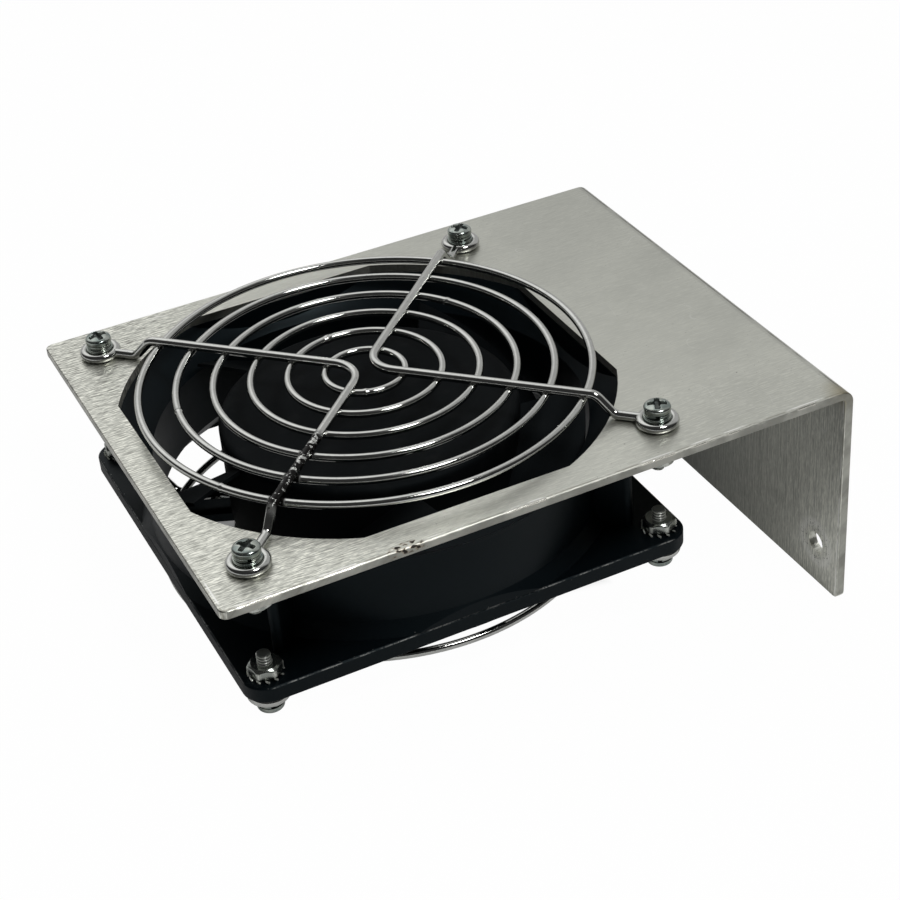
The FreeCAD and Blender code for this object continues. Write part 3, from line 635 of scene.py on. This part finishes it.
zinc, place = begin_finish("zinc_plated_steel")
tarnish = place.noise(0.0022, 3.0)
shine = place.noise(0.0007, 2.0)
gap_x = abs(place.part("X") - fan_x) - bolt_reach
gap_y = abs(place.part("Y")) - bolt_reach
from_bolt = place.math("SQRT", gap_x * gap_x + gap_y * gap_y)
stack_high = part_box("upper_screws")[1].z
stack_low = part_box("lower_screws")[0].z
inside_stack = (stack_high - stack_low) / 2 - abs(place.part("Z") - (stack_high + stack_low) / 2)
# Dirt and painted shade darken the cross recess of each head.
recess_dirt_and_shade = inside_stack.rise(0.00040, 0.00065) * inside_stack.rise(0.0023, 0.0019)
recess_dirt_and_shade = recess_dirt_and_shade * from_bolt.rise(recess_reach + 0.0004, recess_reach)
# Painted light: the zinc between the flanges is made paler, as if lit from the front; the nuts are darker.
painted_lit_middle = inside_stack.rise(0.0070, 0.0080)
on_nut = painted_lit_middle * from_bolt.rise(0.0018, 0.0020) * from_bolt.rise(0.0042, 0.0039)
# Dirt and painted shade darken the thread roots and the end face of each screw.
thread_dirt_and_shade = painted_lit_middle * from_bolt.rise(0.00168, 0.00145)
painted_lit_outside_nut = painted_lit_middle - on_nut
tint = layered(
    tarnish.rise(0.35, 0.65).mix((0.22, 0.26, 0.245), (0.44, 0.47, 0.43)),
    (shine.rise(0.60, 0.72) * 0.5, (0.16, 0.20, 0.21)),
    # dirt and painted shade in the recess
    (recess_dirt_and_shade * 0.8, (0.020, 0.023, 0.023)),
    # painted light on the zinc between the flanges
    (painted_lit_middle * 0.85, (0.76, 0.78, 0.72)),
    (on_nut * 0.85, (0.25, 0.27, 0.25)),
    # dirt and painted shade in the thread
    (thread_dirt_and_shade * 0.80, (0.035, 0.042, 0.040)),
)
end_finish(zinc, {
    "Base Color": tint,
    "Metallic": 0.96 - 0.5 * recess_dirt_and_shade - 0.40 * painted_lit_outside_nut,
    "Roughness": 0.12 + 0.14 * tarnish + 0.25 * recess_dirt_and_shade + 0.12 * painted_lit_outside_nut,
    "Normal": rough_skin(tarnish * 0.6 + shine * 0.4, 0.00002),
})
for guard, outward in (("upper", 1), ("lower", -1)):
    end, top = heights_over_seat(guard + "_screws", outward)
    screws = at_bolts(outward, turns[outward], lambda turn: screw_surface(top - head_height, end, turn))
    shapes = [(screw, False) for screw in screws]
    build_piece(guard + "_machine_screws", shapes, zinc, guard + "_screws")


# The split lock washers are coiled from square steel wire and cut, so their two ends stand a little apart.
# The flat washers are stamped and tumbled, which has rounded their edges.
def squared(wave, power):
    """A sine or cosine pushed towards full by a small power, which makes a circle into a rounded square."""
    return np.sign(wave) * np.abs(wave) ** power


def split_ring(near, far, turn):
    """A rounded square carried round the axis from one side of the slit to the other, rising a little as it
    goes; its ends are closed by their middle points."""
    sweep = np.linspace(slit_half_angle, 2 * np.pi - slit_half_angle, 64)[:, None] + turn
    corner = circle(24)[None, :]
    out = (washer_bore + lock_washer_radius) / 2
    out = out + (lock_washer_radius - washer_bore) / 2 * squared(np.cos(corner), 0.35)
    lift = slit_lift * (sweep - turn - np.pi) / np.pi
    rise = (near + far) / 2 + lift + ((far - near) / 2 - slit_lift) * squared(np.sin(corner), 0.35)
    ring = np.stack((out * np.cos(sweep), out * np.sin(sweep), rise), axis=-1)
    start = np.broadcast_to(ring[:1].mean(axis=1, keepdims=True), ring[:1].shape)
    end = np.broadcast_to(ring[-1:].mean(axis=1, keepdims=True), ring[:1].shape)
    return np.concatenate((start, ring, end))


def stamped_ring(near, far):
    """A rounded oblong turned round the axis, from the squared cosine and sine of its corner angle."""
    turn = circle(72)[:, None]
    corner = circle(28)[None, :]
    out = (washer_bore + flat_washer_radius) / 2
    out = out + (flat_washer_radius - washer_bore) / 2 * squared(np.cos(corner), 0.22)
    rise = (near + far) / 2 + (far - near) / 2 * squared(np.sin(corner), 0.30)
    return np.stack((out * np.cos(turn), out * np.sin(turn), rise + 0 * turn), axis=-1)


lock_washer_radius = 0.0032
flat_washer_radius = 0.0034
washer_bore = thread_radius + 0.0001
slits = (4.54, 4.21, 1.20, 2.30)
slit_half_angle = 0.16
slit_lift = 0.00012
for guard, outward in (("upper", 1), ("lower", -1)):
    near, far = heights_over_seat(guard + "_lock_washers", outward)
    locks = at_bolts(outward, slits, lambda slit: split_ring(near, far, slit))
    shapes = [(lock, False) for lock in locks]
    build_piece(guard + "_split_washers", shapes, zinc, guard + "_lock_washers")
    near, far = heights_over_seat(guard + "_flat_washers", outward)
    flats = at_bolts(outward, turns[outward], lambda turn: stamped_ring(near, far))
    shapes = [(flat, True) for flat in flats]
    build_piece(guard + "_stamped_washers", shapes, zinc, guard + "_flat_washers")


# Each screw is held by a nut with a captive toothed washer, which bites into the painted flange. The nut is
# cold-formed: a hexagon whose outer end is rounded off to a cone. The washer's twelve teeth are twisted.
def cone_nut(width, near, far, turn):
    """A hexagon in polar form, the half width over the cosine of the angle from the nearest flat, cut off by
    a cone at each end, with a straight bore; the rows run over the outside and back through the bore."""
    angle = circle(96)[None, :]
    flat = width / 2 / np.cos((angle - turn + np.pi / 6) % (np.pi / 3) - np.pi / 6)
    z = np.linspace(near, far, 16)[:, None]
    cone = width / 2 * far_end_share + np.abs(far - z) * far_end_slope
    foot = width / 2 * near_end_share + np.abs(near - z) * near_end_slope
    outside = np.minimum(np.minimum(flat, cone), foot)
    bore = np.full((2, angle.size), nut_bore)
    out = np.concatenate((outside, bore))
    height = np.concatenate((z, ((far,), (near,)))) + 0 * angle
    return np.stack((out * np.cos(angle), out * np.sin(angle), height), axis=-1)


def toothed_ring(near, far, turn):
    """A flat ring whose outer edge steps between root and tip once for each tooth. The teeth are twisted, so
    the height swings by a sine along the edge and grows with the cube of the way out from the bore."""
    angle = circle(192)[None, :]
    edge = tooth_root + (tooth_tip - tooth_root) * fade(-np.cos(tooth_count * (angle - turn)), tooth_flank)
    share = np.array((0, 0.5, 1, 1, 0.5, 0))[:, None]
    side = np.array((0, 0, 0, 1, 1, 1))[:, None]
    out = nut_bore + (edge - nut_bore) * share
    twist = tooth_twist * np.sin(tooth_count * (angle - turn)) * share ** 3
    thick = (far - near) / 2
    height = near + thick / 2 + thick * side + twist
    return np.stack((out * np.cos(angle), out * np.sin(angle), height), axis=-1)


nut_bore = thread_radius + 0.00002
nut_sizes = {"upper": (0.0079, 0.0030), "lower": (0.0075, 0.0025)}
far_end_share, far_end_slope = 0.88, 1.2
near_end_share, near_end_slope = 1.02, 2.0
tooth_count = 12
tooth_root = 0.0034
tooth_tip = 0.0044
tooth_twist = 0.00036
tooth_flank = 1 / 12
for guard, outward in (("upper", 1), ("lower", -1)):
    nut_width, nut_height = nut_sizes[guard]
    near = heights_over_seat(guard + "_nuts", outward)[1]
    far = near - nut_height
    nuts = at_bolts(outward, turns[outward], lambda turn: cone_nut(nut_width, near, far, turn))
    shapes = [(nut, True) for nut in nuts]
    build_piece(guard + "_cone_nuts", shapes, zinc, guard + "_nuts")
    far, near = heights_over_seat(guard + "_tooth_washers", outward)
    washers = at_bolts(outward, turns[outward], lambda turn: toothed_ring(near, far, turn))
    shapes = [(washer, True) for washer in washers]
    build_piece(guard + "_toothed_washers", shapes, zinc, guard + "_tooth_washers")


# The part lies on a white table, as it was photographed. It rests on the lower edge of the flange and on the
# heads of the two outer screws below, so the table is tilted a few degrees. The table is clear from below,
# and under the fan it keeps more of its shade.
def ray_kinds(tree):
    """Whether a ray comes from the camera, from a mirror or through glass: three values, each 1 or 0."""
    path = tree.nodes.new("ShaderNodeLightPath")
    kinds = ("Is Camera Ray", "Is Glossy Ray", "Is Transmission Ray")
    return [Shade(tree, path.outputs[kind]) for kind in kinds]


rest_x = fan_x - bolt_reach
tilt = (stack_low - plate_low.z) / (rest_x - plate_high.x)
table_half = 3.0
table_gap = 0.0002
seen_white = 0.985
mirrored_white = 0.16
shade_depth = 0.85
shade_stretch = 0.78
shade_outer, shade_inner = 0.038, 0.028
table_edge = np.array(((-1, -1), (1, -1), (1, 1), (-1, 1))) * table_half
table_z = plate_low.z + tilt * (table_edge[:, 0] - plate_high.x) - table_gap
table_mesh = bpy.data.meshes.new("table")
table_mesh.from_pydata(np.column_stack((table_edge, table_z)).tolist(), [], [(0, 1, 2, 3)])
table = bpy.data.objects.new("table", table_mesh)
bpy.context.scene.collection.objects.link(table)

table_white, place = begin_finish("white_table")
end_finish(table_white, {
    "Base Color": place.noise(0.4, 2.0).mix((0.80, 0.80, 0.80), (0.83, 0.83, 0.83)),
    "Roughness": 0.8,
})
tree = table_white.node_tree
camera_ray, glossy_ray, glass_ray = ray_kinds(tree)
matt = Shade(tree, tree.nodes["Principled BSDF"].outputs[0])
white = place.node("Emission", None, {"Color": (1, 1, 1, 1), "Strength": 1.0})
from_middle = place.math("MAXIMUM", shade_stretch * abs(place.part("X") - fan_x), abs(place.part("Y")))
under_fan = from_middle.rise(shade_outer, shade_inner)
whiteness = seen_white * (camera_ray + glass_ray) * (1.0 - shade_depth * under_fan)
whiteness = whiteness + mirrored_white * glossy_ray
from_above = place.node("MixShader", None, {0: whiteness, 1: matt, 2: white})
clear = place.node("BsdfTransparent")
seen_below = Shade(tree, tree.nodes.new("ShaderNodeNewGeometry").outputs["Backfacing"])
surface = place.node("MixShader", None, {0: seen_below, 1: from_above, 2: clear})
tree.links.new(surface.socket, tree.nodes["Material Output"].inputs["Surface"])
table_mesh.materials.append(table_white)


# The room is dark, with a pale wall behind on the right and a bright window high at the back. A soft lamp
# hangs high over the front on the right. The camera sees the room as plain white.
room = bpy.data.worlds.new("studio_room")
bpy.context.scene.world = room
room.use_nodes = True
tree = room.node_tree
background = tree.nodes["Background"]
camera_ray, _, glass_ray = ray_kinds(tree)
way = Shade(tree, tree.nodes.new("ShaderNodeTexCoord").outputs["Generated"])
pale_wall = (0.50, 0.75, 0.43)
high_window = (-0.05, 0.63, 0.775)
to_wall = way.node("VectorMath", {"operation": "DOT_PRODUCT"}, {0: way, 1: pale_wall}, "Value")
to_window = way.node("VectorMath", {"operation": "DOT_PRODUCT"}, {0: way, 1: high_window}, "Value")
lit = 0.04 + 0.50 * to_wall.rise(0.30, 0.65) + 0.65 * to_window.rise(0.80, 0.98)
plain_white = camera_ray + glass_ray
level = plain_white + (1.0 - plain_white) * lit
background.inputs["Color"].default_value = (1, 1, 1, 1)
tree.links.new(level.socket, background.inputs["Strength"])

lamp_data = bpy.data.lights.new("ceiling_lamp", "AREA")
lamp_data.size = 0.30
lamp_data.energy = 6.0
lamp = bpy.data.objects.new("ceiling_lamp", lamp_data)
lamp.location = (0.13, -0.52, 1.05)
aim = np.array((fan_x, 0.0, plate_high.z)) - np.array(lamp.location)
lamp_tilt = math.atan2(math.hypot(aim[0], aim[1]), -aim[2])
lamp.rotation_euler = Euler((lamp_tilt, 0, math.atan2(-aim[0], aim[1])))
bpy.context.scene.collection.objects.link(lamp)


# The camera stands in front, a little left of the middle, and looks down on the plate.
camera_data = bpy.data.cameras.new("camera")
camera_data.sensor_width = 36.0
camera_data.lens = 80.17
camera_data.clip_start = 0.01
camera = bpy.data.objects.new("camera", camera_data)
camera.location = (-0.25088, -0.39431, 0.31898)
camera.rotation_euler = Euler([math.radians(degrees) for degrees in (55.557, 4.078, -26.351)])
bpy.context.scene.collection.objects.link(camera)
bpy.context.scene.camera = camera
bpy.context.scene.view_settings.view_transform = "Standard"
